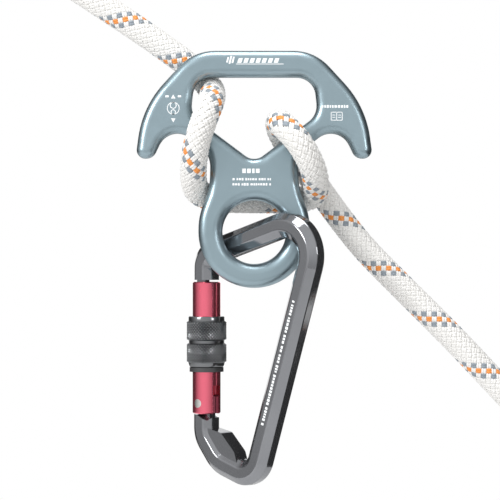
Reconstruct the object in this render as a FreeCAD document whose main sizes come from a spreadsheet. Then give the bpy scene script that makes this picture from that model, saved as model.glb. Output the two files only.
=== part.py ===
import FreeCAD, Part
import math
import os
import Sketcher

# Rope descender: a flat rescue-eight plate with two ears, reeved on a twelve millimetre rope,
# with a screw-gate karabiner through its small ring. Millimetres, +Z up, +X right, the front
# faces -Y. The design frame has its origin at the centre of the plate's small ring; every piece
# is then moved so that the origin of the finished part is the centre of the upper rope eye.
# Karabiner pieces are drawn in the karabiner's own plane, with u to the right and z up, and
# that plane is turned about the vertical so that its spine stands in front of the plate.

SIZES = {
    # Plate
    "plate_thick": 10.0,
    "plate_top": 82.3,
    "ear_reach": 53.9,
    "ear_low": 33.4,
    "ear_wide": 7.9,
    "ring_hole": 28.8,
    "ring_band": 10.9,
    "waist_half": "=ring_hole / 2 + 5.4",
    "opening_low": "=ring_hole / 2 + 17.3",
    "opening_top": 70.2,
    "opening_half": 28.8,
    "plate_edge_round": 3.8,
    "opening_edge_round": 3.8,
    "ring_edge_round": 4.6,
    # Karabiner frame
    "karabiner_yaw": 40.0,
    "stock_wide": 11.2,
    "stock_thick": 11.2,
    "stock_chamfer": 3.2,
    "stock_round": 1.3,
    "gate_side": 28.7,
    "spine_top": 40.6,
    "top_rise": 10.0,
    "top_bend": 14.0,
    "bottom_low": 112.0,
    "bottom_bend": 9.0,
    # Gate
    "gate_wide": 12.9,
    "gate_top": 22.8,
    "gate_long": 60.8,
    "gate_gap": 0.9,
    "pivot_up": 4.8,
    "rivet_wide": 4.0,
    "rivet_fit": 0.05,
    "tang_thick": 4.0,
    "tang_end": 4.6,
    "tang_flat": 3.6,
    "slot_play": 0.25,
    "slot_deep": 13.0,
    "hinge_clear": 0.35,
    "hinge_leg": 14.7,
    "shoulder_reach": 12.0,
    "spring_bore": 4.8,
    "spring_bore_deep": 17.0,
    "spring_wire": 0.6,
    "spring_turns": 7.0,
    "plunger_wide": 4.2,
    "plunger_long": 4.0,
    "plunger_gap": 0.3,
    "tongue_thick": 3.0,
    "tongue_deep": 6.0,
    "latch_slot_deep": 7.2,
    "latch_pin": 2.4,
    "latch_pin_drop": 3.1,
    "latch_pin_in": 2.2,
    # Locking sleeve
    "sleeve_wide": "=gate_wide + 5.6",
    "sleeve_long": 23.6,
    "sleeve_drop": 15.9,
    "sleeve_fit": 0.2,
    "sleeve_waist": 1.1,
    "sleeve_band": 8.4,
    "sleeve_lip": 2.2,
    "sleeve_lip_step": 0.9,
    "foot_ring_thick": 2.0,
    "foot_ring_inset": 1.0,
    # Rope and its two eyes
    "rope_wide": 12.0,
    "eye_radius": 16.0,
    "eye_collar_long": 26.0,
    "eye_collar_start": 14.0,
    "eye_collar_wide": 21.0,
    "rope_collar_wide": 15.0,
    "thimble_bore": 17.0,
    "thimble_flange": 23.4,
    "thimble_wide": 13.0,
    "rope_seat_play": 0.1,
    "upper_eye_x": -123.4,
    "upper_eye_y": 12.5,
    "upper_eye_z": 140.2,
    "lower_eye_x": 153.0,
    "lower_eye_y": 12.5,
    "lower_eye_z": -112.57,
}

# The rope's route, chosen by hand, from the upper collar to the lower collar, in the design frame.
ROPE_ROUTE = [
    (-90.2, 12.5, 117.8),
    (-72.0, 12.6, 105.8),
    (-54.0, 12.4, 94.0),
    (-38.0, 12.4, 82.8),
    (-27.2, 13.2, 74.6),
    (-20.0, 10.2, 66.4),
    (-18.8, 0.0, 62.6),
    (-19.5, -9.5, 58.0),
    (-22.3, -13.6, 50.8),
    (-25.6, -13.2, 41.0),
    (-27.2, -9.5, 31.5),
    (-27.8, -0.5, 23.8),
    (-26.2, 9.3, 18.0),
    (-17.5, 14.0, 15.2),
    (-5.5, 13.2, 14.8),
    (6.0, 13.2, 14.8),
    (17.0, 13.8, 14.6),
    (27.0, 8.6, 16.0),
    (28.4, -1.5, 21.2),
    (26.7, -10.2, 28.5),
    (22.6, -13.8, 36.6),
    (18.2, -13.8, 42.6),
    (13.0, -10.6, 48.0),
    (10.7, -1.0, 50.4),
    (11.8, 9.0, 46.0),
    (16.2, 15.6, 38.9),
    (22.6, 18.0, 30.5),
    (30.2, 20.4, 20.0),
    (39.5, 20.6, 7.0),
    (51.0, 19.4, -7.6),
    (65.0, 16.4, -21.9),
    (80.5, 13.4, -37.4),
    (96.5, 12.8, -53.6),
    (111.0, 12.5, -69.3),
    (124.97, 12.5, -84.0),
]

V = FreeCAD.Vector
doc = FreeCAD.newDocument("rope_descender")
sheet = doc.addObject("Spreadsheet::Sheet", "Sizes")
for row, (alias, size) in enumerate(SIZES.items(), start=1):
    sheet.set(f"A{row}", alias)
    sheet.set(f"B{row}", str(size))
    sheet.setAlias(f"B{row}", alias)
doc.recompute()

PIECES = []


def size(expression):
    """The number that an expression on the sheet comes to."""
    return float(sheet.evalExpression(expression))


def of_sheet(words):
    """An expression in which each word that is an alias reads the sheet."""
    found = words
    for alias in sorted(SIZES, key=len, reverse=True):
        found = found.replace(alias, "@" + str(list(SIZES).index(alias)) + "@")
    for number, alias in enumerate(SIZES):
        found = found.replace(f"@{number}@", f"Sizes.{alias}")
    return found


def bind(item, name, words):
    """Ties one property of an object to the sheet."""
    item.setExpression(name, of_sheet(words))


def piece(item, label, u="0", z="0", y="0", on_karabiner=False):
    """Names a finished sub-part and puts its own frame at (u, y, z) of the design frame."""
    item.Label = label
    if on_karabiner:
        item.Placement = FreeCAD.Placement(V(), FreeCAD.Rotation(V(0, 0, -1), size("Sizes.karabiner_yaw")))
        bind(item, "Placement.Rotation.Angle", "karabiner_yaw")
        across = f"(({u}) * cos(karabiner_yaw) + ({y}) * sin(karabiner_yaw))"
        along = f"(({y}) * cos(karabiner_yaw) - ({u}) * sin(karabiner_yaw))"
    else:
        across, along = f"({u})", f"({y})"
    bind(item, "Placement.Base.x", f"{across} - (upper_eye_x)")
    bind(item, "Placement.Base.y", f"{along} - (upper_eye_y)")
    bind(item, "Placement.Base.z", f"({z}) - (upper_eye_z)")
    PIECES.append(item)


def plane_of(body, role):
    """One of a body's own origin planes."""
    return next(o for o in body.Origin.OriginFeatures if o.Role == role)


def new_sketch(body, name, role, lift=None):
    """A sketch on an origin plane of its body, raised along that plane's normal by lift."""
    sketch = body.newObject("Sketcher::SketchObject", name)
    sketch.AttachmentSupport = [(plane_of(body, role), "")]
    sketch.MapMode = "FlatFace"
    if lift is not None:
        bind(sketch, "AttachmentOffset.Base.z", lift)
    return sketch


def hold(sketch, kind, spot, words):
    """Ties one coordinate of a sketch point, named by its geometry and end, to the sheet."""
    number = sketch.addConstraint(Sketcher.Constraint(kind, -1, 1, *spot, size(of_sheet(words))))
    sketch.setExpression(f"Constraints[{number}]", of_sheet(words))


def draw_circle(sketch, across, up, wide):
    """A circle whose centre and diameter are tied to the sheet."""
    centre = V(size(of_sheet(across)), size(of_sheet(up)), 0)
    circle = sketch.addGeometry(Part.Circle(centre, V(0, 0, 1), size(of_sheet(wide)) / 2), False)
    hold(sketch, "DistanceX", (circle, 3), across)
    hold(sketch, "DistanceY", (circle, 3), up)
    number = sketch.addConstraint(Sketcher.Constraint("Diameter", circle, size(of_sheet(wide))))
    sketch.setExpression(f"Constraints[{number}]", of_sheet(wide))


def draw_outline(sketch, corners, closed=True):
    """Straight runs through corners (across, up, radius), each corner rounded if it has a radius."""
    spots = [V(size(of_sheet(c[0])), size(of_sheet(c[1])), 0) for c in corners]
    count = len(spots)
    bends = []
    for number, (spot, corner) in enumerate(zip(spots, corners)):
        if corner[2] is None:
            bends.append((spot, spot, None))
            continue
        before = (spots[number - 1] - spot).normalize()
        after = (spots[(number + 1) % count] - spot).normalize()
        half = before.getAngle(after) / 2
        radius = size(of_sheet(corner[2]))
        reach = radius / math.tan(half)
        centre = spot + (before + after).normalize() * (radius / math.sin(half))
        bends.append((spot + before * reach, spot + after * reach, (centre, radius)))
    runs = {}
    for number in range(count if closed else count - 1):
        ends = Part.LineSegment(bends[number][1], bends[(number + 1) % count][0])
        runs[number] = sketch.addGeometry(ends, False)
    for number in range(count):
        inward = runs.get(number - 1 if number else (count - 1 if closed else None))
        outward = runs.get(number)
        across, up, rounding = corners[number]
        if rounding is None:
            at = (outward, 1) if outward is not None else (inward, 2)
            if inward is not None and outward is not None:
                sketch.addConstraint(Sketcher.Constraint("Coincident", inward, 2, outward, 1))
            hold(sketch, "DistanceX", at, across)
            hold(sketch, "DistanceY", at, up)
            continue
        start, stop, (centre, radius) = bends[number]
        left_turn = (spots[number] - start).cross(stop - spots[number]).z > 0
        first, last = (start, stop) if left_turn else (stop, start)
        angles = [math.atan2(p.y - centre.y, p.x - centre.x) for p in (first, last)]
        arc = sketch.addGeometry(Part.ArcOfCircle(Part.Circle(centre, V(0, 0, 1), radius), *angles), False)
        begin, end = (1, 2) if left_turn else (2, 1)
        sketch.addConstraint(Sketcher.Constraint("Tangent", inward, 2, arc, begin))
        sketch.addConstraint(Sketcher.Constraint("Tangent", arc, end, outward, 1))
        number_of = sketch.addConstraint(Sketcher.Constraint("Radius", arc, radius))
        sketch.setExpression(f"Constraints[{number_of}]", of_sheet(rounding))
        corner_point = sketch.addGeometry(Part.Point(spots[number]), True)
        hold(sketch, "DistanceX", (corner_point, 1), across)
        hold(sketch, "DistanceY", (corner_point, 1), up)
        sketch.addConstraint(Sketcher.Constraint("PointOnObject", corner_point, 1, inward))
        sketch.addConstraint(Sketcher.Constraint("PointOnObject", corner_point, 1, outward))


def extrude(body, kind, name, sketch, length):
    """A pad or pocket of a sketch, to both sides of its plane."""
    feature = body.newObject(kind, name)
    feature.Profile = sketch
    feature.SideType = "Symmetric"
    bind(feature, "Length", length)
    doc.recompute()
    return feature


def fillet(body, name, edges, radius):
    """Rounds edges of the body's tip."""
    base = body.Tip
    feature = body.newObject("PartDesign::Fillet", name)
    feature.Base = (base, [f"Edge{number}" for number in edges])
    bind(feature, "Radius", radius)
    doc.recompute()
    return feature


def edges_in(shape, wires):
    """The numbers, in a shape, of the edges of some of its wires."""
    wanted = [edge for wire in wires for edge in wire.Edges]
    return [n for n, edge in enumerate(shape.Edges, 1) if any(edge.isSame(w) for w in wanted)]


def mirrored(half):
    """Corners of a left-right symmetric outline from those of its right half, top to bottom."""
    return half + [(f"-({across})", up, rounding) for across, up, rounding in reversed(half)]


def primitive(kind, name, at=("0", "0", "0"), turn=None, **sizes):
    """A Part primitive with its sizes and place tied to the sheet."""
    item = doc.addObject(kind, name)
    if turn is not None:
        item.Placement = FreeCAD.Placement(V(), FreeCAD.Rotation(*turn))
    for prop, words in sizes.items():
        bind(item, prop, words)
    for axis, words in zip("xyz", at):
        bind(item, f"Placement.Base.{axis}", words)
    return item


def joined(name, items):
    """One object made of several that touch."""
    item = doc.addObject("Part::MultiFuse", name)
    item.Shapes = items
    return item


def cut(name, base, tools):
    """What is left of base once the tools are taken out of it."""
    item = doc.addObject("Part::Cut", name)
    item.Base = base
    item.Tool = tools[0] if len(tools) == 1 else joined(name + "_tools", tools)
    return item


ALONG_Y = (V(1, 0, 0), -90)


def make_plate():
    """The forged plate: a D-shaped opening above, two ears, a waist and the small ring."""
    body = doc.addObject("PartDesign::Body", "Plate")
    ring_half = "(ring_hole / 2 + ring_band)"
    outline = new_sketch(body, "PlateOutline", "XZ_Plane")
    draw_outline(outline, mirrored([
        ("ear_reach * 0.51", "plate_top", "22"),
        ("ear_reach - 3.2", "plate_top - 25.3", "45"),
        ("ear_reach", "ear_low", "plate_edge_round + 0.1"),
        ("ear_reach - ear_wide", "ear_low", "5"),
        ("ear_reach - 15.9", "ear_low + 16.4", "9"),
        ("waist_half", "ear_low + 1.8", "12"),
        ("waist_half + 0.4", "ring_hole / 2 + 5.6", "30"),
        (ring_half, "7", "30"),
        (ring_half, "0", None),
    ]))
    extrude(body, "PartDesign::Pad", "PlatePad", outline, "plate_thick")
    disc = new_sketch(body, "RingOutline", "XZ_Plane")
    draw_circle(disc, "0", "0", f"2 * {ring_half}")
    extrude(body, "PartDesign::Pad", "RingPad", disc, "plate_thick")
    opening = new_sketch(body, "RopeOpening", "XZ_Plane")
    low = ("0", "opening_low", "6.5")
    half = [
        ("opening_half - 1.8", "opening_top", "8.5"),
        ("opening_half", "opening_top - 16.9", "9"),
    ]
    other = [(f"-({a})", up, r) for a, up, r in reversed(half)]
    draw_outline(opening, half + [low] + other)
    extrude(body, "PartDesign::Pocket", "OpeningCut", opening, "plate_thick * 2")
    ring = new_sketch(body, "RingHole", "XZ_Plane")
    draw_circle(ring, "0", "0", "ring_hole")
    extrude(body, "PartDesign::Pocket", "RingCut", ring, "plate_thick * 2")
    for name, chosen, radius in (
        ("OuterRound", "outer", "plate_edge_round"),
        ("OpeningRound", "opening", "opening_edge_round"),
        ("RingRound", "ring", "ring_edge_round"),
    ):
        shape = body.Tip.Shape
        wires = []
        for face in shape.Faces:
            flat = face.Surface.TypeId == "Part::GeomPlane" and abs(face.normalAt(0, 0).y) > 0.99
            if not flat:
                continue
            for wire in face.Wires:
                is_ring = len(wire.Edges) <= 2 and wire.BoundBox.XLength < size("Sizes.ring_hole") + 1
                outer = wire.isSame(face.OuterWire)
                kind = "outer" if outer else ("ring" if is_ring else "opening")
                if kind == chosen:
                    wires.append(wire)
        fillet(body, name, edges_in(shape, wires), radius)
    piece(body, "descender_plate")


def make_karabiner_frame():
    """The forged frame: nose, top bar through the ring, spine, basket and hinge tang."""
    body = doc.addObject("PartDesign::Body", "KarabinerFrame")
    gate = "-gate_side"
    pivot = "-(gate_top + gate_long - pivot_up)"
    nose = "-(gate_top - gate_gap)"
    path = new_sketch(body, "FramePath", "XZ_Plane")
    draw_outline(path, [
        (gate, nose, None),
        (gate, "top_rise - 20.5", "8"),
        ("spine_top", "top_rise", "top_bend"),
        ("spine_top - 39.4", "-bottom_low", "bottom_bend"),
        (f"{gate} + 9", "7 - bottom_low", "14"),
        (gate, f"{pivot} - hinge_leg", "10"),
        (gate, f"{pivot} - pivot_up + 1", None),
    ], closed=False)
    profile = new_sketch(body, "FrameSection", "XY_Plane", lift=nose)
    half_wide, half_thick = "stock_wide / 2", "stock_thick / 2"
    corners = []
    for side_u, side_y in ((1, 1), (-1, 1), (-1, -1), (1, -1)):
        steep = (f"{gate} + {side_u} * ({half_wide})", f"{side_y} * ({half_thick} - stock_chamfer)", "stock_round")
        shallow = (f"{gate} + {side_u} * ({half_wide} - stock_chamfer)", f"{side_y} * ({half_thick})", "stock_round")
        corners += [steep, shallow] if side_u == side_y else [shallow, steep]
    draw_outline(profile, corners)
    pipe = body.newObject("PartDesign::AdditivePipe", "FrameStock")
    pipe.Profile = profile
    pipe.Spine = path
    pipe.Mode = "Standard"
    doc.recompute()
    shoulder = new_sketch(body, "HingeShoulder", "XZ_Plane")
    draw_outline(shoulder, [
        (f"{gate} + 2", f"{pivot} - hinge_leg + 3.7", None),
        (f"{gate} + shoulder_reach", f"{pivot} - hinge_leg + 1.7", "2.5"),
        (f"{gate} + shoulder_reach + 8.1", "11.8 - bottom_low", "4"),
        (f"{gate} + shoulder_reach + 10", "6 - bottom_low", None),
        (f"{gate} + 9", "7 - bottom_low", None),
        (f"{gate} + 2", f"{pivot} - hinge_leg - 2.3", None),
    ])
    extrude(body, "PartDesign::Pad", "HingeShoulderPad", shoulder, "stock_thick - stock_chamfer")
    # The seat is flat under the gate's outer half and falls away where its inner corner swings.
    seat = new_sketch(body, "HingeSeat", "XZ_Plane")
    seat_up = f"{pivot} - pivot_up - hinge_clear"
    draw_outline(seat, [
        (f"{gate} - gate_wide", f"{pivot} + gate_wide", None),
        (f"{gate} - gate_wide", seat_up, None),
        (f"{gate} - 1.3", seat_up, None),
        (f"{gate} + gate_wide * 0.3", f"{seat_up} - gate_wide * 0.213", None),
        (f"{gate} + gate_wide", f"{pivot} - 0.4", None),
        (f"{gate} + gate_wide", f"{pivot} + gate_wide", None),
    ])
    extrude(body, "PartDesign::Pocket", "HingeSeatCut", seat, "stock_thick * 2")
    tang = new_sketch(body, "HingeTang", "XZ_Plane")
    draw_outline(tang, [
        (f"{gate} - tang_flat", f"{pivot} + tang_flat", "1.2"),
        (f"{gate} + tang_flat", f"{pivot} + tang_flat", "1.2"),
        (f"{gate} + tang_flat", f"{pivot} - 14", None),
        (f"{gate} - tang_flat + 2", f"{pivot} - 14", None),
        (f"{gate} - tang_flat", f"{pivot} - 4", "3"),
    ])
    extrude(body, "PartDesign::Pad", "HingeTangPad", tang, "tang_thick")
    pivot_hole = new_sketch(body, "PivotHole", "XZ_Plane")
    draw_circle(pivot_hole, gate, pivot, "rivet_wide + 2 * rivet_fit")
    extrude(body, "PartDesign::Pocket", "PivotHoleCut", pivot_hole, "stock_thick * 2")
    tongue = new_sketch(body, "NoseTongue", "XZ_Plane")
    throat = "latch_pin_in - latch_pin / 2 - 0.5"
    lip = "-(gate_top + latch_pin_drop + latch_pin / 2 + 0.5)"
    low = "-(gate_top + tongue_deep)"
    draw_outline(tongue, [
        (f"{gate} - 4.6", f"{nose} + 1", None),
        (f"{gate} - 4.6", low, "1.5"),
        (f"{gate} + latch_pin_in + 0.6", low, "0.6"),
        (f"{gate} + latch_pin_in + 0.6", lip, None),
        (f"{gate} + {throat}", lip, None),
        (f"{gate} + {throat}", f"{nose} + 1", None),
    ])
    extrude(body, "PartDesign::Pad", "NoseTonguePad", tongue, "tongue_thick")
    piece(body, "karabiner_frame", on_karabiner=True)


def make_gate():
    """The round gate, its rivet, latch pin, and the plunger and spring that shut it."""
    # These are drawn on the gate's own axis, with z = 0 at the pivot.
    top = "(gate_long - pivot_up)"
    slot = "(tang_thick + 2 * slot_play)"
    slot_top = "(slot_deep - pivot_up)"
    spot = {"u": "-gate_side", "z": "-(gate_top + gate_long - pivot_up)", "on_karabiner": True}
    barrel = primitive("Part::Cylinder", "GateRod", at=("0", "0", "-pivot_up"),
                       Radius="gate_wide / 2", Height="gate_long")
    ends = doc.addObject("Part::Chamfer", "GateRodEnds")
    ends.Base = barrel
    doc.recompute()
    ring_edges = [n for n, e in enumerate(barrel.Shape.Edges, 1) if e.Curve.TypeId == "Part::GeomCircle"]
    ends.Edges = [(n, 0.5, 0.5) for n in ring_edges]
    tang_slot = primitive("Part::Box", "TangSlot", at=("-gate_wide", f"-{slot} / 2", "-pivot_up - 1"),
                          Length="gate_wide * 2", Width=slot, Height="slot_deep + 1")
    latch_slot = primitive("Part::Box", "LatchSlot",
                           at=("-gate_wide", "-(tongue_thick / 2 + slot_play)", f"{top} - latch_slot_deep"),
                           Length="gate_wide + latch_pin_in + 1.6", Width="tongue_thick + 2 * slot_play",
                           Height="latch_slot_deep + 1")
    bore = primitive("Part::Cylinder", "SpringBore", at=("0", "0", "0"),
                     Radius="spring_bore / 2", Height=f"{slot_top} + spring_bore_deep")
    rivet_way = primitive("Part::Cylinder", "RivetWay", at=("0", "-gate_wide", "0"), turn=ALONG_Y,
                          Radius="rivet_wide / 2", Height="gate_wide * 2")
    pin_way = primitive("Part::Cylinder", "PinWay", at=("latch_pin_in", "-gate_wide", f"{top} - latch_pin_drop"),
                        turn=ALONG_Y, Radius="latch_pin / 2", Height="gate_wide * 2")
    gate = cut("Gate", ends, [tang_slot, latch_slot, bore, rivet_way, pin_way])
    piece(gate, "gate_barrel", **spot)

    shank = primitive("Part::Cylinder", "RivetShank", at=("0", "-gate_wide / 2", "0"), turn=ALONG_Y,
                      Radius="rivet_wide / 2", Height="gate_wide")
    rivet = doc.addObject("Part::Common", "Rivet")
    rod = primitive("Part::Cylinder", "RivetTrim", at=("0", "0", "-pivot_up"), Radius="gate_wide / 2",
                    Height="gate_long")
    rivet.Base = shank
    rivet.Tool = rod
    piece(rivet, "gate_rivet", **spot)

    pin = doc.addObject("Part::Common", "LatchPin")
    pin.Base = primitive("Part::Cylinder", "LatchPinRod", at=("latch_pin_in", "-gate_wide", f"{top} - latch_pin_drop"),
                         turn=ALONG_Y, Radius="latch_pin / 2", Height="gate_wide * 2")
    pin.Tool = primitive("Part::Cylinder", "LatchPinTrim", at=("0", "0", "0"), Radius="gate_wide / 2 - 0.1",
                         Height="gate_long")
    piece(pin, "latch_pin", **spot)

    plunger = primitive("Part::Cylinder", "Plunger", Radius="plunger_wide / 2", Height="plunger_long")
    piece(plunger, "gate_plunger", u=spot["u"], z=f"{spot['z']} + tang_flat + plunger_gap", on_karabiner=True)

    spring_foot = "(tang_flat + plunger_gap + plunger_long + spring_wire / 2 + 0.1)"
    spring_top = f"({slot_top} + spring_bore_deep - spring_wire / 2 - 0.1)"
    helix = primitive("Part::Helix", "SpringPath", Radius="(spring_bore - spring_wire) / 2 - 0.2",
                      Height=f"{spring_top} - {spring_foot}", Pitch=f"({spring_top} - {spring_foot}) / spring_turns")
    wire = doc.addObject("Part::Circle", "SpringSection")
    bind(wire, "Radius", "spring_wire / 2")
    wire.Placement = FreeCAD.Placement(V(), FreeCAD.Rotation(V(1, 0, 0), 90))
    bind(wire, "Placement.Base.x", "(spring_bore - spring_wire) / 2 - 0.2")
    doc.recompute()
    spring = doc.addObject("Part::Sweep", "Spring")
    spring.Sections = [wire]
    spring.Spine = (helix, [f"Edge{n}" for n in range(1, len(helix.Shape.Edges) + 1)])
    spring.Solid = True
    spring.Frenet = True
    piece(spring, "gate_spring", u=spot["u"], z=f"{spot['z']} + {spring_foot}", on_karabiner=True)


def make_sleeve():
    """The knurled locking sleeve and the nylon ring that it turns on."""
    # Both are drawn on the gate's axis, with z = 0 at the sleeve's top.
    spot = {"u": "-gate_side", "z": "-(gate_top + sleeve_drop)", "on_karabiner": True}
    bore = "gate_wide / 2 + sleeve_fit"
    full = "sleeve_wide / 2"
    lip = "sleeve_wide / 2 - sleeve_lip_step"
    upper_end = "-(sleeve_lip + sleeve_band)"
    lower_start = "-(sleeve_long - sleeve_lip - sleeve_band)"
    lower_end = "-(sleeve_long - sleeve_lip)"
    body = doc.addObject("PartDesign::Body", "Sleeve")
    section = new_sketch(body, "SleeveSection", "XZ_Plane")
    draw_outline(section, [
        (bore, "0", None),
        (lip, "0", "0.5"),
        (lip, "-sleeve_lip", None),
        (full, "-(sleeve_lip + 0.5)", None),
        (full, upper_end, None),
        (f"{full} - sleeve_waist", f"{upper_end} - 0.6", "0.4"),
        (f"{full} - sleeve_waist", f"{lower_start} + 0.6", "0.4"),
        (full, lower_start, None),
        (full, f"{lower_end} + 0.5", None),
        (lip, lower_end, None),
        (f"{lip} - 0.4", "-sleeve_long", "0.5"),
        (bore, "-sleeve_long", None),
    ])
    turned = body.newObject("PartDesign::Revolution", "SleeveTurned")
    turned.Profile = section
    turned.ReferenceAxis = (plane_axis(body), [""])
    turned.Angle = 360
    doc.recompute()
    piece(body, "lock_sleeve", **spot)
    outer = primitive("Part::Cylinder", "FootRingOuter", Radius=f"{full} - foot_ring_inset - 0.4",
                      Height="foot_ring_thick")
    inner = primitive("Part::Cylinder", "FootRingInner", at=("0", "0", "-1"), Radius=bore,
                      Height="foot_ring_thick + 2")
    ring = cut("FootRing", outer, [inner])
    piece(ring, "sleeve_foot_ring", u=spot["u"], z=f"{spot['z']} - sleeve_long - foot_ring_thick",
          on_karabiner=True)


def plane_axis(body):
    """A body's own vertical axis."""
    return next(o for o in body.Origin.OriginFeatures if o.Role == "Z_Axis")


def rope_wire(points):
    """Straight runs joined by tangent arcs, each as large as its two runs allow."""
    spots = [V(*p) for p in points]
    edges = []
    radii = []
    start = spots[0]
    for number in range(1, len(spots) - 1):
        before = spots[number - 1] - spots[number]
        after = spots[number + 1] - spots[number]
        run = 0.45 * min(before.Length, after.Length)
        before.normalize()
        after.normalize()
        half = (math.pi - before.getAngle(after)) / 2
        radii.append(run / math.tan(half))
        first = spots[number] + before * run
        last = spots[number] + after * run
        centre = spots[number] + (before + after).normalize() * (radii[-1] / math.cos(half))
        middle = centre + (spots[number] - centre).normalize() * radii[-1]
        edges.append(Part.LineSegment(start, first).toShape())
        edges.append(Part.Arc(first, middle, last).toShape())
        start = last
    edges.append(Part.LineSegment(start, spots[-1]).toShape())
    return Part.Wire(edges), radii


def make_rope():
    """The rope, from the upper collar round the plate to the lower collar."""
    wire, radii = rope_wire(ROPE_ROUTE)
    direction = V(*ROPE_ROUTE[1]) - V(*ROPE_ROUTE[0])
    section = Part.Wire(Part.Circle(V(*ROPE_ROUTE[0]), direction, size("Sizes.rope_wide") / 2).toShape())
    tube = wire.makePipeShell([section], True, False)
    rope = doc.addObject("Part::Feature", "Rope")
    rope.Shape = tube
    piece(rope, "rope")
    area = math.pi * size("Sizes.rope_wide") ** 2 / 4
    print("rope length", round(wire.Length, 1), "volume share", round(tube.Volume / (area * wire.Length), 4))
    print("rope radii", [round(r, 1) for r in radii])


def make_eye(where, neighbour):
    """A sewn rope eye round a round thimble, with a moulded collar over the sewing."""
    name = where.capitalize()
    centre = V(*[size(f"Sizes.{where}_eye_{axis}") for axis in "xyz"])
    towards = V(*neighbour) - centre
    towards.normalize()
    lean = FreeCAD.Rotation(V(0, 0, 1), towards)
    spot = {"u": f"{where}_eye_x", "y": f"{where}_eye_y", "z": f"{where}_eye_z"}
    loop = primitive("Part::Torus", name + "Loop", turn=ALONG_Y, Radius1="eye_radius", Radius2="rope_wide / 2")
    piece(loop, where + "_rope_eye", **spot)

    ring = primitive("Part::Cylinder", name + "ThimbleBlank", at=("0", "-thimble_wide / 2", "0"), turn=ALONG_Y,
                     Radius="thimble_flange / 2", Height="thimble_wide")
    way = primitive("Part::Cylinder", name + "ThimbleBore", at=("0", "-thimble_wide", "0"), turn=ALONG_Y,
                    Radius="thimble_bore / 2", Height="thimble_wide * 2")
    groove = primitive("Part::Torus", name + "ThimbleGroove", turn=ALONG_Y, Radius1="eye_radius",
                       Radius2="rope_wide / 2 + rope_seat_play")
    piece(cut(name + "Thimble", ring, [way, groove]), where + "_thimble", **spot)

    cone = primitive("Part::Cone", name + "CollarBlank", turn=(lean,), Radius1="eye_collar_wide / 2",
                     Radius2="rope_collar_wide / 2", Height="eye_collar_long")
    for axis in "xyz":
        part = getattr(towards, axis)
        cone.setExpression(f"Placement.Base.{axis}", f"{part:.6f} * Sizes.eye_collar_start")
    seat = primitive("Part::Torus", name + "CollarSeat", turn=ALONG_Y, Radius1="eye_radius",
                     Radius2="rope_wide / 2 + rope_seat_play")
    flange = primitive("Part::Cylinder", name + "CollarClear", at=("0", "-eye_collar_wide", "0"), turn=ALONG_Y,
                       Radius="thimble_flange / 2 + 0.3", Height="eye_collar_wide * 2")
    piece(cut(name + "Collar", cone, [seat, flange]), where + "_eye_collar", **spot)


make_plate()
make_karabiner_frame()
make_gate()
make_sleeve()
make_rope()
make_eye("upper", ROPE_ROUTE[0])
make_eye("lower", ROPE_ROUTE[-1])
doc.recompute()

faults = [o.Name for o in doc.Objects if {"Invalid", "Error"} & set(o.State)]
if faults:
    raise SystemExit(f"these objects failed: {faults}")
for item in PIECES:
    if item.Shape.isNull() or not item.Shape.isValid() or not item.Shape.Solids:
        raise SystemExit(f"{item.Label} has no valid shape")

os.makedirs("parts", exist_ok=True)
for item in PIECES:
    item.Shape.exportStep(f"parts/{item.Label}.step")
    box = item.Shape.BoundBox
    print(f"{item.Label:18} solids {len(item.Shape.Solids)} volume {item.Shape.Volume:9.1f} "
          f"x {box.XMin:7.1f} {box.XMax:7.1f} y {box.YMin:6.1f} {box.YMax:6.1f} z {box.ZMin:7.1f} {box.ZMax:7.1f}")
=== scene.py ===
import math
import random

import bpy
import numpy as np
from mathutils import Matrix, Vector


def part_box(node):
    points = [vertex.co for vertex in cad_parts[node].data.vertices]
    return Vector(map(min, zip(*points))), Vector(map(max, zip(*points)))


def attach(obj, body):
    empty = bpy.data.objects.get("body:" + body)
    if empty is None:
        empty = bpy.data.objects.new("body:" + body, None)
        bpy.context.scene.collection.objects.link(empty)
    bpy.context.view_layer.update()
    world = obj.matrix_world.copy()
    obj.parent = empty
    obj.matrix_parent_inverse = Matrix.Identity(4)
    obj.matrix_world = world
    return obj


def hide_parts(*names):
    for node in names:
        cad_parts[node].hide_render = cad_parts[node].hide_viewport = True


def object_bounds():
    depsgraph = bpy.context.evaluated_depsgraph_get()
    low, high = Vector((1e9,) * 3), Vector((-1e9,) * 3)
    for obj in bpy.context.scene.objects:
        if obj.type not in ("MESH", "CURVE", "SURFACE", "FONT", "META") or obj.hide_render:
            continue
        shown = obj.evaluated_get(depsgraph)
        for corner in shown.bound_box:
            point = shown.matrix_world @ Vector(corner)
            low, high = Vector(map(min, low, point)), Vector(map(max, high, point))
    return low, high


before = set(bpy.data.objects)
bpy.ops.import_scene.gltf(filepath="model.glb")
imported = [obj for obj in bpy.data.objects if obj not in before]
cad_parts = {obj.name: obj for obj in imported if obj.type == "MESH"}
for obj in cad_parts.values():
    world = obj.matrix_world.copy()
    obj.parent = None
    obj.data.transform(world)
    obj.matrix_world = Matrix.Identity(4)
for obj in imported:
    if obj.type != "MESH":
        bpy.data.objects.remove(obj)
cad_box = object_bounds()

MM = 0.001

# Where the upper eye's centre lies from the ring's centre, in millimetres. The frame's origin is that eye.
EYE_OFFSET = Vector((-123.4, 12.5, 140.2))
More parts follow.
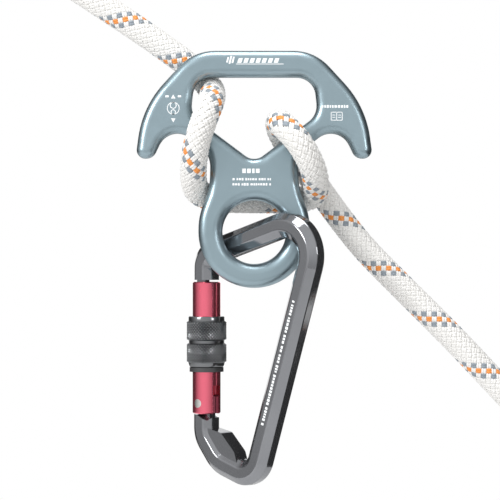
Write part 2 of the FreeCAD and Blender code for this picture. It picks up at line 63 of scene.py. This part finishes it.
# The rope's route between its two collars, in millimetres from the ring's centre.
ROPE_ROUTE = [
    (-90.2, 12.5, 117.8),
    (-72.0, 12.6, 105.8),
    (-54.0, 12.4, 94.0),
    (-38.0, 12.4, 82.8),
    (-27.2, 13.2, 74.6),
    (-20.0, 10.2, 66.4),
    (-18.8, 0.0, 62.6),
    (-19.5, -9.5, 58.0),
    (-22.3, -13.6, 50.8),
    (-25.6, -13.2, 41.0),
    (-27.2, -9.5, 31.5),
    (-27.8, -0.5, 23.8),
    (-26.2, 9.3, 18.0),
    (-17.5, 14.0, 15.2),
    (-5.5, 13.2, 14.8),
    (6.0, 13.2, 14.8),
    (17.0, 13.8, 14.6),
    (27.0, 8.6, 16.0),
    (28.4, -1.5, 21.2),
    (26.7, -10.2, 28.5),
    (22.6, -13.8, 36.6),
    (18.2, -13.8, 42.6),
    (13.0, -10.6, 48.0),
    (10.7, -1.0, 50.4),
    (11.8, 9.0, 46.0),
    (16.2, 15.6, 38.9),
    (22.6, 18.0, 30.5),
    (30.2, 20.4, 20.0),
    (39.5, 20.6, 7.0),
    (51.0, 19.4, -7.6),
    (65.0, 16.4, -21.9),
    (80.5, 13.4, -37.4),
    (96.5, 12.8, -53.6),
    (111.0, 12.5, -69.3),
    (124.97, 12.5, -84.0),
]


def middle(node):
    """The centre of a CAD node's box."""
    low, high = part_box(node)
    return (Vector(low) + Vector(high)) / 2


# Camera: level, looking along +Y at the middle of the view that the part is shown in.
VIEW_ACROSS = 0.2272
VIEW_CENTRE = Vector((0.1215, -0.0125, -0.1483))
CAMERA_FAR = 1.0
camera = bpy.data.objects.new("camera", bpy.data.cameras.new("camera"))
camera.location = VIEW_CENTRE - Vector((0, CAMERA_FAR, 0))
camera.rotation_euler = (math.radians(90), 0, 0)
camera.data.lens = camera.data.sensor_width * CAMERA_FAR / VIEW_ACROSS
camera.data.clip_end = 50
bpy.context.scene.collection.objects.link(camera)
bpy.context.scene.camera = camera


# Materials

def material(name, colour, metallic, roughness, **inputs):
    """A Principled material with constants on its sockets, and the nodes to add detail to it."""
    made = bpy.data.materials.new(name)
    made.use_nodes = True
    made.diffuse_color = (*colour, 1)
    shader = made.node_tree.nodes["Principled BSDF"]
    shader.inputs["Base Color"].default_value = (*colour, 1)
    shader.inputs["Metallic"].default_value = metallic
    shader.inputs["Roughness"].default_value = roughness
    for socket, value in inputs.items():
        shader.inputs[socket.replace("_", " ")].default_value = value
    return made


def node(made, kind, **settings):
    """A node, with sockets or properties set by name."""
    new = made.node_tree.nodes.new(kind)
    for name, value in settings.items():
        socket = new.inputs.get(name.replace("_", " "))
        if socket is not None:
            socket.default_value = value
        else:
            setattr(new, name, value)
    return new


def link(made, source, target):
    made.node_tree.links.new(source, target)


def noise(made, scale, detail=4.0, roughness=0.55, stretch=None):
    """Noise in the object's own metres."""
    place = node(made, "ShaderNodeTexCoord")
    found = node(made, "ShaderNodeTexNoise", Scale=scale, Detail=detail, Roughness=roughness)
    if stretch is None:
        link(made, place.outputs["Object"], found.inputs["Vector"])
    else:
        mapping = node(made, "ShaderNodeMapping", Scale=stretch)
        link(made, place.outputs["Object"], mapping.inputs["Vector"])
        link(made, mapping.outputs["Vector"], found.inputs["Vector"])
    return found.outputs["Fac"]


def ranged(made, source, low, high, bottom, top):
    """source from low..high onto bottom..top."""
    found = node(made, "ShaderNodeMapRange")
    for socket, value in (("From Min", low), ("From Max", high), ("To Min", bottom), ("To Max", top)):
        found.inputs[socket].default_value = value
    link(made, source, found.inputs["Value"])
    return found.outputs["Result"]


def bump(made, source, distance, strength=1.0):
    """Bump of this height, in metres, after any that the shader has already."""
    shader = made.node_tree.nodes["Principled BSDF"]
    found = node(made, "ShaderNodeBump", Strength=strength, Distance=distance)
    link(made, source, found.inputs["Height"])
    before = shader.inputs["Normal"].links
    if before:
        link(made, before[0].from_socket, found.inputs["Normal"])
    link(made, found.outputs["Normal"], shader.inputs["Normal"])


def varied(made, source, socket, low, high):
    """A socket of the shader that follows a 0..1 source between two values."""
    shader = made.node_tree.nodes["Principled BSDF"]
    if isinstance(low, tuple):
        mix = node(made, "ShaderNodeMix", data_type="RGBA")
        mix.inputs[6].default_value = (*low, 1)
        mix.inputs[7].default_value = (*high, 1)
        link(made, source, mix.inputs[0])
        link(made, mix.outputs[2], shader.inputs[socket])
    else:
        link(made, ranged(made, source, 0.3, 0.7, low, high), shader.inputs[socket])


def anodised(name, colour, roughness, wear):
    """A metal finish: fine grain, faint mottling and uneven gloss."""
    made = material(name, colour, 0.92, roughness)
    mottle = noise(made, 55.0, 3.0)
    darker = tuple(part * (1 - wear) for part in colour)
    lighter = tuple(min(1.0, part * (1 + wear)) for part in colour)
    varied(made, mottle, "Base Color", darker, lighter)
    varied(made, noise(made, 160.0, 5.0), "Roughness", roughness * 0.85, roughness * 1.25)
    bump(made, noise(made, 4200.0, 2.0), 0.000012, 0.5)
    bump(made, noise(made, 900.0, 4.0, stretch=(1.0, 1.0, 0.12)), 0.000008, 0.4)
    return made


plate_metal = anodised("plate_anodised", (0.30, 0.39, 0.433), 0.33, 0.08)
red_metal = anodised("gate_red", (0.84, 0.165, 0.235), 0.14, 0.06)
frame_metal = anodised("frame_black", (0.27, 0.276, 0.292), 0.08, 0.10)
sleeve_metal = anodised("sleeve_black", (0.16, 0.165, 0.172), 0.18, 0.15)
steel = anodised("thimble_steel", (0.62, 0.62, 0.60), 0.26, 0.06)
# Painted shade and highlight on the knurl: the sleeve's colour runs from near black in the groove floors,
# which is painted shade, to lighter grey on the diamond tops, which is painted highlight.
height = node(sleeve_metal, "ShaderNodeAttribute", attribute_name="rise")
varied(sleeve_metal, height.outputs["Fac"], "Base Color", (0.02, 0.02, 0.022), (0.30, 0.31, 0.32))
pin_metal = anodised("pin_steel", (0.70, 0.69, 0.66), 0.24, 0.06)

rubber = material("collar_rubber", (0.018, 0.018, 0.019), 0.0, 0.55)
varied(rubber, noise(rubber, 240.0, 4.0), "Roughness", 0.46, 0.68)
bump(rubber, noise(rubber, 2600.0, 3.0), 0.00004, 0.6)

nylon = material("foot_nylon", (0.045, 0.045, 0.047), 0.0, 0.42)
varied(nylon, noise(nylon, 300.0, 3.0), "Roughness", 0.36, 0.52)
bump(nylon, noise(nylon, 1800.0, 3.0), 0.00002, 0.5)

mark_paint = material("mark_paint", (0.86, 0.88, 0.89), 0.0, 0.5)
varied(mark_paint, noise(mark_paint, 900.0, 3.0), "Roughness", 0.42, 0.6)


def yarn(name, colour, shade):
    """Filament yarn: fine lines along the strand from its UV, a soft sheen, and a little soiling."""
    made = material(name, colour, 0.0, 0.48, Sheen_Weight=0.25, Sheen_Roughness=0.4)
    place = node(made, "ShaderNodeUVMap", uv_map="along")
    turned = node(made, "ShaderNodeMapping", Rotation=(0, 0, math.radians(24)))
    link(made, place.outputs["UV"], turned.inputs["Vector"])
    lines = node(made, "ShaderNodeTexWave", Scale=900.0, Distortion=2.5, Detail=2.0)
    lines.inputs["Detail Scale"].default_value = 2.0
    link(made, turned.outputs["Vector"], lines.inputs["Vector"])
    soil = noise(made, 120.0, 4.0)
    varied(made, soil, "Base Color", colour, shade)
    bump(made, lines.outputs["Fac"], 0.00007, 0.55)
    varied(made, noise(made, 700.0, 3.0), "Roughness", 0.40, 0.60)
    return made


YARNS = [
    yarn("yarn_white", (0.81, 0.80, 0.785), (0.74, 0.73, 0.705)),
    yarn("yarn_grey", (0.27, 0.31, 0.35), (0.22, 0.255, 0.29)),
    yarn("yarn_orange", (0.85, 0.31, 0.06), (0.76, 0.25, 0.045)),
]
# The rope's core is coloured dark grey as painted shade: it shows only in the gaps between the sheath's
# strands, and it is darker than the real core so that those gaps look shaded.
core_painted_shade = material("rope_core", (0.16, 0.155, 0.145), 0.0, 0.8)
bump(core_painted_shade, noise(core_painted_shade, 1500.0, 3.0), 0.00008, 0.5)


FINISHES = {
    "descender_plate": plate_metal,
    "karabiner_frame": frame_metal,
    "gate_barrel": red_metal,
    "gate_rivet": pin_metal,
    "latch_pin": red_metal,
    "gate_plunger": pin_metal,
    "gate_spring": pin_metal,
    "sleeve_foot_ring": nylon,
    "upper_thimble": steel,
    "lower_thimble": steel,
    "upper_eye_collar": rubber,
    "lower_eye_collar": rubber,
}
for name, finish in FINISHES.items():
    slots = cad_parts[name].data.materials
    slots.clear()
    slots.append(finish)


# Rope

ROUTE_STEPS = 16
SAME_POINT = 1e-7


def curve_points(spline_points):
    """The points of a NURBS curve through a route, read back from Blender."""
    data = bpy.data.curves.new("route", "CURVE")
    data.dimensions = "3D"
    spline = data.splines.new("NURBS")
    spline.points.add(len(spline_points) - 1)
    for place, point in zip(spline.points, spline_points):
        place.co = (*point, 1)
    spline.order_u = 3
    spline.use_endpoint_u = True
    spline.resolution_u = ROUTE_STEPS
    holder = bpy.data.objects.new("route", data)
    bpy.context.scene.collection.objects.link(holder)
    bpy.context.view_layer.update()
    mesh = bpy.data.meshes.new_from_object(holder)
    points = np.array([v.co[:] for v in mesh.vertices])
    bpy.data.objects.remove(holder)
    bpy.data.meshes.remove(mesh)
    bpy.data.curves.remove(data)
    return points


def along(points):
    """Arc length, tangents and two side directions that don't twist, at each point of a line."""
    steps = np.linalg.norm(np.diff(points, axis=0), axis=1)
    keep = np.concatenate(([True], steps > SAME_POINT))
    points = points[keep]
    steps = np.linalg.norm(np.diff(points, axis=0), axis=1)
    length = np.concatenate(([0], np.cumsum(steps)))
    tangents = np.gradient(points, length, axis=0)
    tangents /= np.linalg.norm(tangents, axis=1)[:, None]
    side = np.cross(tangents[0], (0.0, 1.0, 0.0))
    side /= np.linalg.norm(side)
    sides = [side]
    for tangent in tangents[1:]:
        side = side - tangent * np.dot(side, tangent)
        side = side / np.linalg.norm(side)
        sides.append(side)
    sides = np.array(sides)
    return points, length, tangents, sides, np.cross(tangents, sides)


STRANDS = 10
BRAID_PITCH = 32.5 * MM
WEAVE_MEAN = 5.2 * MM
WEAVE_RISE = 0.46 * MM
STRAND_HALF_WIDE = 1.2 * MM
STRAND_HALF_THICK = 0.46 * MM
STEPS_PER_CROSSING = 4
TRACER = {0: 1, 1: 2, 2: 1}
# Strand section: two yarns lying side by side, as (across, out) in half widths and half thicknesses.
STRAND_SECTION = [
    (-1.0, -0.2), (-0.86, 0.55), (-0.5, 0.95), (-0.13, 0.66), (0.0, 0.45), (0.13, 0.66), (0.5, 0.95),
    (0.86, 0.55), (1.0, -0.2), (0.55, -0.8), (-0.55, -0.8),
]


def braid(name, line, pitch, sheath_turn):
    """A braided sheath on a core: strands of both hands, each over one and under one."""
    points, length, _, sides, ups = line
    total = length[-1]
    turns = total / pitch
    verts, faces, slots, uvs = [], [], [], []
    section = np.array(STRAND_SECTION)
    crossings = 2 * STRANDS * turns
    count = int(crossings * STEPS_PER_CROSSING) + 1
    at = np.linspace(0, total, count)

    def read(rows):
        return np.stack([np.interp(at, length, rows[:, k]) for k in range(3)], axis=1)

    centre, side, up = read(points), read(sides), read(ups)
    turned = np.interp(at, *zip(*sheath_turn))
    start = 0
    for hand in (1, -1):
        for number in range(STRANDS):
            first = 2 * math.pi * number / STRANDS
            turn = turned + hand * (first + 2 * math.pi * at / pitch)
            # All strands of one hand are over at even crossings, and those of the other at odd ones.
            weave = hand * np.cos(math.pi * 2 * STRANDS * at / pitch)
            radius = WEAVE_MEAN + WEAVE_RISE * weave
            out = side * np.cos(turn)[:, None] + up * np.sin(turn)[:, None]
            place = centre + out * radius[:, None]
            run = np.gradient(place, axis=0)
            run /= np.linalg.norm(run, axis=1)[:, None]
            across = np.cross(out, run)
            across /= np.linalg.norm(across, axis=1)[:, None]
            normal = np.cross(run, across)
            wide = STRAND_HALF_WIDE * section[:, 0]
            thick = STRAND_HALF_THICK * section[:, 1]
            ring = (place[:, None, :] + across[:, None, :] * wide[None, :, None]
                    + normal[:, None, :] * thick[None, :, None])
            verts.append(ring.reshape(-1, 3))
            k = len(section)
            colour = TRACER.get(number, 0) if hand < 0 else 0
            rows = np.arange(count - 1)[:, None] * k + start
            cols = np.arange(k)[None, :]
            nxt = (cols + 1) % k
            quads = np.stack([rows + cols, rows + nxt, rows + k + nxt, rows + k + cols], axis=-1)
            quads = quads.reshape(-1, 4)
            faces.append(quads)
            slots.append(np.full(len(quads), colour))
            strand_length = at * math.hypot(2 * math.pi * WEAVE_MEAN, pitch) / pitch
            u0 = np.repeat(strand_length[:-1], k)
            u1 = np.repeat(strand_length[1:], k)
            v0 = np.tile(section[:, 0] * STRAND_HALF_WIDE, count - 1)
            v1 = np.tile(np.roll(section[:, 0], -1) * STRAND_HALF_WIDE, count - 1)
            uvs.append(np.stack([np.stack([u0, v0], 1), np.stack([u0, v1], 1),
                                 np.stack([u1, v1], 1), np.stack([u1, v0], 1)], axis=1).reshape(-1, 2))
            start += count * k
    verts = np.concatenate(verts)
    faces = np.concatenate(faces)
    mesh = bpy.data.meshes.new(name)
    mesh.from_pydata(verts.tolist(), [], faces.tolist())
    layer = mesh.uv_layers.new(name="along")
    layer.data.foreach_set("uv", np.concatenate(uvs).astype(np.float32).ravel())
    mesh.polygons.foreach_set("material_index", np.concatenate(slots).astype(np.int32))
    mesh.polygons.foreach_set("use_smooth", np.ones(len(faces), dtype=bool))
    for made in YARNS:
        mesh.materials.append(made)
    made_object = bpy.data.objects.new(name, mesh)
    bpy.context.scene.collection.objects.link(made_object)
    mesh.update()
    return made_object


CORE_RADIUS = 4.95 * MM
CORE_SIDES = 20
CORE_STEP = 1.2 * MM


def tube(name, line, radius, made, closed=False):
    """A smooth tube with closed ends round a line."""
    points, length, _, sides, ups = line
    at = np.linspace(0, length[-1], int(length[-1] / CORE_STEP))

    def read(rows):
        return np.stack([np.interp(at, length, rows[:, k]) for k in range(3)], axis=1)

    centre, side, up = read(points), read(sides), read(ups)
    turn = np.linspace(0, 2 * math.pi, CORE_SIDES, endpoint=False)
    ring = (centre[:, None, :] + radius * (side[:, None, :] * np.cos(turn)[None, :, None]
                                           + up[:, None, :] * np.sin(turn)[None, :, None]))
    verts = ring.reshape(-1, 3).tolist()
    rows = len(at)
    faces = []
    for row in range(rows - 1):
        for col in range(CORE_SIDES):
            nxt = (col + 1) % CORE_SIDES
            faces.append((row * CORE_SIDES + col, row * CORE_SIDES + nxt,
                          (row + 1) * CORE_SIDES + nxt, (row + 1) * CORE_SIDES + col))
    if not closed:
        faces.append(tuple(reversed(range(CORE_SIDES))))
        faces.append(tuple((rows - 1) * CORE_SIDES + col for col in range(CORE_SIDES)))
    return mesh_object(name, verts, faces, made)


def mesh_object(name, verts, faces, made, smooth=True):
    """A mesh object of one material."""
    mesh = bpy.data.meshes.new(name)
    mesh.from_pydata([tuple(v) for v in verts], [], faces)
    mesh.materials.append(made)
    for face in mesh.polygons:
        face.use_smooth = smooth
    mesh.update()
    made_object = bpy.data.objects.new(name, mesh)
    bpy.context.scene.collection.objects.link(made_object)
    return made_object


route = [(Vector(point) - EYE_OFFSET) * MM for point in ROPE_ROUTE]
rope_line = along(curve_points(route))
# How far the sheath is turned about the rope, in radians, at some lengths along it in metres.
SHEATH_TURN = [(0.038, 3.1), (0.069, 3.0), (0.136, 2.5), (0.226, 0.85), (0.260, 2.2), (0.333, 0.3),
               (0.363, 0.05), (0.429, 0.1)]
rope = braid("rope_sheath", rope_line, BRAID_PITCH, SHEATH_TURN)
rope_core = tube("rope_core", rope_line, CORE_RADIUS, core_painted_shade)
rope_core.parent = rope
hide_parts("rope")
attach(rope, "descender")

EYE_RADIUS = 16.0 * MM
EYE_TURNS = 3


def eye_loop(name, cad_node):
    """The braided loop round a thimble."""
    centre = middle(cad_node)
    turn = np.linspace(0, 2 * math.pi, 181)
    points = np.stack([centre.x + EYE_RADIUS * np.cos(turn), np.full_like(turn, centre.y),
                       centre.z + EYE_RADIUS * np.sin(turn)], axis=1)
    steps = np.linalg.norm(np.diff(points, axis=0), axis=1)
    length = np.concatenate(([0], np.cumsum(steps)))
    tangents = np.stack([-np.sin(turn), np.zeros_like(turn), np.cos(turn)], axis=1)
    sides = np.stack([np.cos(turn), np.zeros_like(turn), np.sin(turn)], axis=1)
    line = (points, length, tangents, sides, np.cross(tangents, sides))
    loop = braid(name, line, length[-1] / EYE_TURNS, [(0.0, 0.0), (length[-1], 0.0)])
    core = tube(name + "_core", line, CORE_RADIUS, core_painted_shade, closed=True)
    core.parent = loop
    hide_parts(cad_node)
    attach(loop, "descender")
    return loop


eye_loop("upper_eye_loop", "upper_rope_eye")
lower_loop = eye_loop("lower_eye_loop", "lower_rope_eye")


# Locking sleeve

SLEEVE_FULL = 9.25 * MM
SLEEVE_LIP = 8.35 * MM
SLEEVE_WAIST = 8.15 * MM
SLEEVE_BORE = 6.65 * MM
KNURLS = 38
KNURL_DEPTH = 0.52 * MM
KNURL_RISE = 1.53 * MM
KNURL_STEPS = 6
KNURL_TOP = 0.86
# The rise given to the sleeve's plain parts, where 0 is a groove's floor and 1 a diamond's top; it sets where
# they fall between the painted groove shade and the painted highlight of the diamond tops
PLAIN_RISE = 0.6
SLEEVE_EDGE = math.radians(28)


def knurled(turn, down):
    """Radius of the knurled bands: flat-topped diamonds between two hands of V grooves."""
    spot = KNURLS * turn / (2 * math.pi)
    grooves = [1 - abs(2 * ((spot + hand * down / KNURL_RISE) % 1.0) - 1) for hand in (1, -1)]
    return SLEEVE_FULL - KNURL_DEPTH * (1 - min(1.0, min(grooves) / KNURL_TOP))


def make_sleeve():
    """The turned sleeve: two knurled bands, a plain waist and a plain lip at each end."""
    centre = middle("lock_sleeve")
    low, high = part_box("lock_sleeve")
    top = high[2]
    long = high[2] - low[2]
    band = [(2.7 * MM, 10.6 * MM), (13.0 * MM, 20.9 * MM)]
    rows = [(0.0, SLEEVE_BORE), (0.0, SLEEVE_LIP - 0.5 * MM), (0.15 * MM, SLEEVE_LIP - 0.15 * MM),
            (0.5 * MM, SLEEVE_LIP), (2.2 * MM, SLEEVE_LIP)]
    after = {
        0: [(band[0][1] + 0.6 * MM, SLEEVE_WAIST), (band[1][0] - 0.6 * MM, SLEEVE_WAIST)],
        1: [(21.4 * MM, SLEEVE_LIP), (long - 0.9 * MM, SLEEVE_LIP - 0.3 * MM),
            (long - 0.3 * MM, SLEEVE_LIP - 0.65 * MM), (long, SLEEVE_LIP - 1.1 * MM), (long, SLEEVE_BORE)],
    }
    for number, (start, stop) in enumerate(band):
        count = int((stop - start) / (KNURL_RISE / KNURL_STEPS))
        rows += [(start + (stop - start) * step / count, None) for step in range(count + 1)]
        rows += after[number]
    sides = KNURLS * KNURL_STEPS
    verts = []
    rises = []
    for down, radius in rows:
        for step in range(sides):
            turn = 2 * math.pi * step / sides
            reach = knurled(turn, down) if radius is None else radius
            rises.append(1 - (SLEEVE_FULL - reach) / KNURL_DEPTH if radius is None else PLAIN_RISE)
            verts.append((centre.x + reach * math.cos(turn), centre.y + reach * math.sin(turn), top - down))
    faces = []
    for row in range(len(rows)):
        after_row = (row + 1) % len(rows)
        for col in range(sides):
            nxt = (col + 1) % sides
            faces.append((row * sides + col, after_row * sides + col,
                          after_row * sides + nxt, row * sides + nxt))
    made = mesh_object("knurled_sleeve", verts, faces, sleeve_metal)
    rise = made.data.attributes.new("rise", "FLOAT", "POINT")
    rise.data.foreach_set("value", rises)
    made.data.set_sharp_from_angle(angle=SLEEVE_EDGE)
    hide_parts("lock_sleeve")
    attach(made, "sleeve")


make_sleeve()


# Generic printed marks

RING_CENTRE = Vector((0, 0, 0)) - EYE_OFFSET * MM
PLATE_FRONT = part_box("descender_plate")[0][1]
PRINT_THICK = 0.04 * MM
KARABINER_YAW = math.radians(40)
SPINE_FRONT = 5.6 * MM
SPINE_ROW_LONG = 60.0
SPINE_ROW_HIGH = 1.5
SPINE_ROW_DOWN = 71.8 * MM


class Print:
    """Flat shapes gathered into one thin printed mesh on a plane."""

    def __init__(self, origin, across, up):
        self.origin, self.across, self.up = origin, across.normalized(), up.normalized()
        self.out = self.across.cross(self.up)
        self.verts, self.faces = [], []

    def shape(self, corners):
        """A filled polygon, in millimetres on the plane, anticlockwise."""
        first = len(self.verts)
        count = len(corners)
        for lift in (0.0, PRINT_THICK):
            for x, z in corners:
                self.verts.append(self.origin + self.across * (x * MM) + self.up * (z * MM) + self.out * lift)
        self.faces.append(tuple(range(first + count, first + 2 * count)))
        self.faces.append(tuple(reversed(range(first, first + count))))
        for k in range(count):
            nxt = (k + 1) % count
            self.faces.append((first + k, first + nxt, first + count + nxt, first + count + k))

    def bar(self, x, z, wide, high, slant=0.0):
        half = high / 2 * slant
        self.shape([(x - wide / 2 - half, z - high / 2), (x + wide / 2 - half, z - high / 2),
                    (x + wide / 2 + half, z + high / 2), (x - wide / 2 + half, z + high / 2)])

    def ring(self, x, z, radius, line, sides=28):
        """A ring of short blocks."""
        for k in range(sides):
            ends = [2 * math.pi * (k + e) / sides for e in (0, 1)]
            self.shape([(x + r * math.cos(t), z + r * math.sin(t))
                        for r, t in ((radius - line / 2, ends[0]), (radius + line / 2, ends[0]),
                                     (radius + line / 2, ends[1]), (radius - line / 2, ends[1]))])

    def dashes(self, x, z, wide, high, draw):
        """A row of blocks of uneven widths, in place of words."""
        at = x - wide / 2
        while at < x + wide / 2 - high:
            block = high * draw.uniform(0.45, 0.95)
            self.bar(at + block / 2, z, block, high * draw.uniform(0.75, 1.0))
            at += block + high * draw.choice((0.28, 0.28, 0.28, 0.75))

    def finish(self, name, body):
        made = mesh_object(name, self.verts, self.faces, mark_paint, smooth=False)
        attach(made, body)
        return made


def make_plate_marks():
    """White prints on the plate's front: arrows, a figure of eight, a booklet and rows of blocks."""
    draw = random.Random(7)
    origin = Vector((RING_CENTRE.x, PLATE_FRONT, RING_CENTRE.z))
    marks = Print(origin, Vector((1, 0, 0)), Vector((0, 0, 1)))
    # Emblem of three strokes and a slanted row of blocks on the top bar
    for k, high in enumerate((2.4, 3.6, 2.9)):
        marks.bar(-12.0 + 1.25 * k, 77.9, 0.8, high, 0.25)
    for k in range(7):
        marks.bar(-6.4 + 2.75 * k, 77.6, 1.9, 2.1, 0.35)
    marks.bar(2.6, 76.0, 21.5, 0.3)
    # Left ear: arrows up and down with a figure of eight between
    for x, z, way in ((-36.6, 61.2, 1), (-36.6, 50.6, -1)):
        tip = [(x - 1.0, z - 0.8 * way), (x + 1.0, z - 0.8 * way), (x, z + 1.0 * way)]
        marks.shape(tip if way > 0 else tip[::-1])
    marks.ring(-36.6, 57.3, 1.35, 0.32)
    marks.ring(-36.6, 54.3, 1.0, 0.32)
    marks.ring(-36.6, 56.0, 2.7, 0.32)
    for x in (-39.4, -33.8):
        marks.bar(x, 61.4, 1.5, 0.9)
    # Right ear: a row of blocks over an open booklet
    marks.dashes(37.3, 56.8, 13.6, 1.35, draw)
    for side in (-1, 1):
        marks.bar(37.3 + side * 2.5, 52.4, 0.3, 3.6)
        for z in (50.6, 54.2):
            marks.bar(37.3 + side * 1.25, z, 2.5, 0.3)
        marks.bar(37.3 + side * 1.3, 52.9, 1.3, 0.28)
        marks.bar(37.3 + side * 1.3, 51.9, 1.3, 0.28)
    marks.bar(37.3, 52.4, 0.3, 3.6)
    # Waist: one large row and two small ones
    marks.dashes(-0.4, 27.7, 10.0, 2.2, draw)
    marks.dashes(-0.8, 23.9, 18.0, 1.15, draw)
    marks.dashes(-0.3, 21.6, 19.0, 1.15, draw)
    marks.finish("plate_marks", "descender")


def karabiner_point(u, y, z):
    """A point of the karabiner's own plane, in the row frame."""
    turned = Vector((u * math.cos(KARABINER_YAW) + y * math.sin(KARABINER_YAW),
                     y * math.cos(KARABINER_YAW) - u * math.sin(KARABINER_YAW), z))
    return RING_CENTRE + turned * MM


def make_spine_marks():
    """A row of blocks along the spine's front flat."""
    draw = random.Random(11)
    top, bottom = karabiner_point(40.6, 0, 10.0), karabiner_point(1.2, 0, -112.0)
    down = (bottom - top).normalized()
    front = (karabiner_point(0, -1, 0) - karabiner_point(0, 0, 0)).normalized()
    middle_of_row = top + down * SPINE_ROW_DOWN + front * SPINE_FRONT
    marks = Print(middle_of_row, -down, front.cross(-down))
    marks.dashes(0, 0, SPINE_ROW_LONG, SPINE_ROW_HIGH, draw)
    marks.finish("spine_marks", "karabiner")


make_plate_marks()
make_spine_marks()


# Lights and floor

KEY_POWER = 9
FILL_POWER = 2.0
TOP_POWER = 5
BACK_POWER = 3


def area_light(name, place, target, wide, power):
    """A soft square light that points at a place."""
    data = bpy.data.lights.new(name, "AREA")
    data.size = wide
    data.energy = power
    lamp = bpy.data.objects.new(name, data)
    lamp.location = place
    lamp.rotation_euler = (Vector(target) - Vector(place)).to_track_quat("-Z", "Y").to_euler()
    bpy.context.scene.collection.objects.link(lamp)


area_light("key", (-0.85, -0.8, 0.35), VIEW_CENTRE, 0.45, KEY_POWER)
area_light("fill", (0.9, -0.95, 0.1), VIEW_CENTRE, 0.25, FILL_POWER)
area_light("top", (0.1, -0.15, 0.75), VIEW_CENTRE, 0.5, TOP_POWER)
area_light("back", (0.2, 1.1, 0.2), VIEW_CENTRE, 0.9, BACK_POWER)


# The share of plain white in the light that the world gives to matt surfaces
DIFFUSE_SHARE = 0.22
# Which way the studio is bright, and its greys along that way as (position, grey) from 0 to 1
BRIGHT_SIDE = Vector((-0.32, -0.80, 0.50))
STUDIO_GREYS = ((0.50, 0.04), (0.93, 1.0))


def make_world():
    """White behind the part, and for its reflections a studio that is bright on one side."""
    world = bpy.data.worlds.new("studio")
    bpy.context.scene.world = world
    world.use_nodes = True
    tree = world.node_tree
    back = tree.nodes["Background"]
    place = tree.nodes.new("ShaderNodeTexCoord")
    side = tree.nodes.new("ShaderNodeVectorMath")
    side.operation = "DOT_PRODUCT"
    side.inputs[1].default_value = BRIGHT_SIDE.normalized()
    tree.links.new(place.outputs["Generated"], side.inputs[0])
    ramp = tree.nodes.new("ShaderNodeValToRGB")
    scale = tree.nodes.new("ShaderNodeMapRange")
    scale.inputs["From Min"].default_value = -1
    tree.links.new(side.outputs["Value"], scale.inputs["Value"])
    tree.links.new(scale.outputs["Result"], ramp.inputs["Fac"])
    for spot, (position, grey) in zip(ramp.color_ramp.elements, STUDIO_GREYS):
        spot.color = (grey, grey, grey, 1)
        spot.position = position
    shown = tree.nodes.new("ShaderNodeLightPath")
    soft = tree.nodes.new("ShaderNodeMath")
    soft.operation = "MULTIPLY_ADD"
    soft.inputs[1].default_value = DIFFUSE_SHARE
    mix = tree.nodes.new("ShaderNodeMix")
    mix.data_type = "RGBA"
    mix.inputs[7].default_value = (1, 1, 1, 1)
    tree.links.new(shown.outputs["Is Diffuse Ray"], soft.inputs[0])
    tree.links.new(shown.outputs["Is Camera Ray"], soft.inputs[2])
    tree.links.new(soft.outputs[0], mix.inputs[0])
    tree.links.new(ramp.outputs["Color"], mix.inputs[6])
    tree.links.new(mix.outputs[2], back.inputs["Color"])


make_world()

# The floor stops short on the right, where the karabiner's side would mirror it.
FLOOR_DROP = 0.35
FLOOR_LEFT = -1.2
FLOOR_RIGHT = 0.7
FLOOR_DEEP = 1.2
floor_material = material("floor", (0.9, 0.9, 0.9), 0.0, 0.6)
floor_z = cad_box[0][2] - FLOOR_DROP
corners = [(FLOOR_LEFT, -FLOOR_DEEP, floor_z), (FLOOR_RIGHT, -FLOOR_DEEP, floor_z),
           (FLOOR_RIGHT, FLOOR_DEEP, floor_z), (FLOOR_LEFT, FLOOR_DEEP, floor_z)]
floor = mesh_object("floor", corners, [(0, 1, 2, 3)], floor_material, smooth=False)

bpy.context.scene.view_settings.view_transform = "Standard"
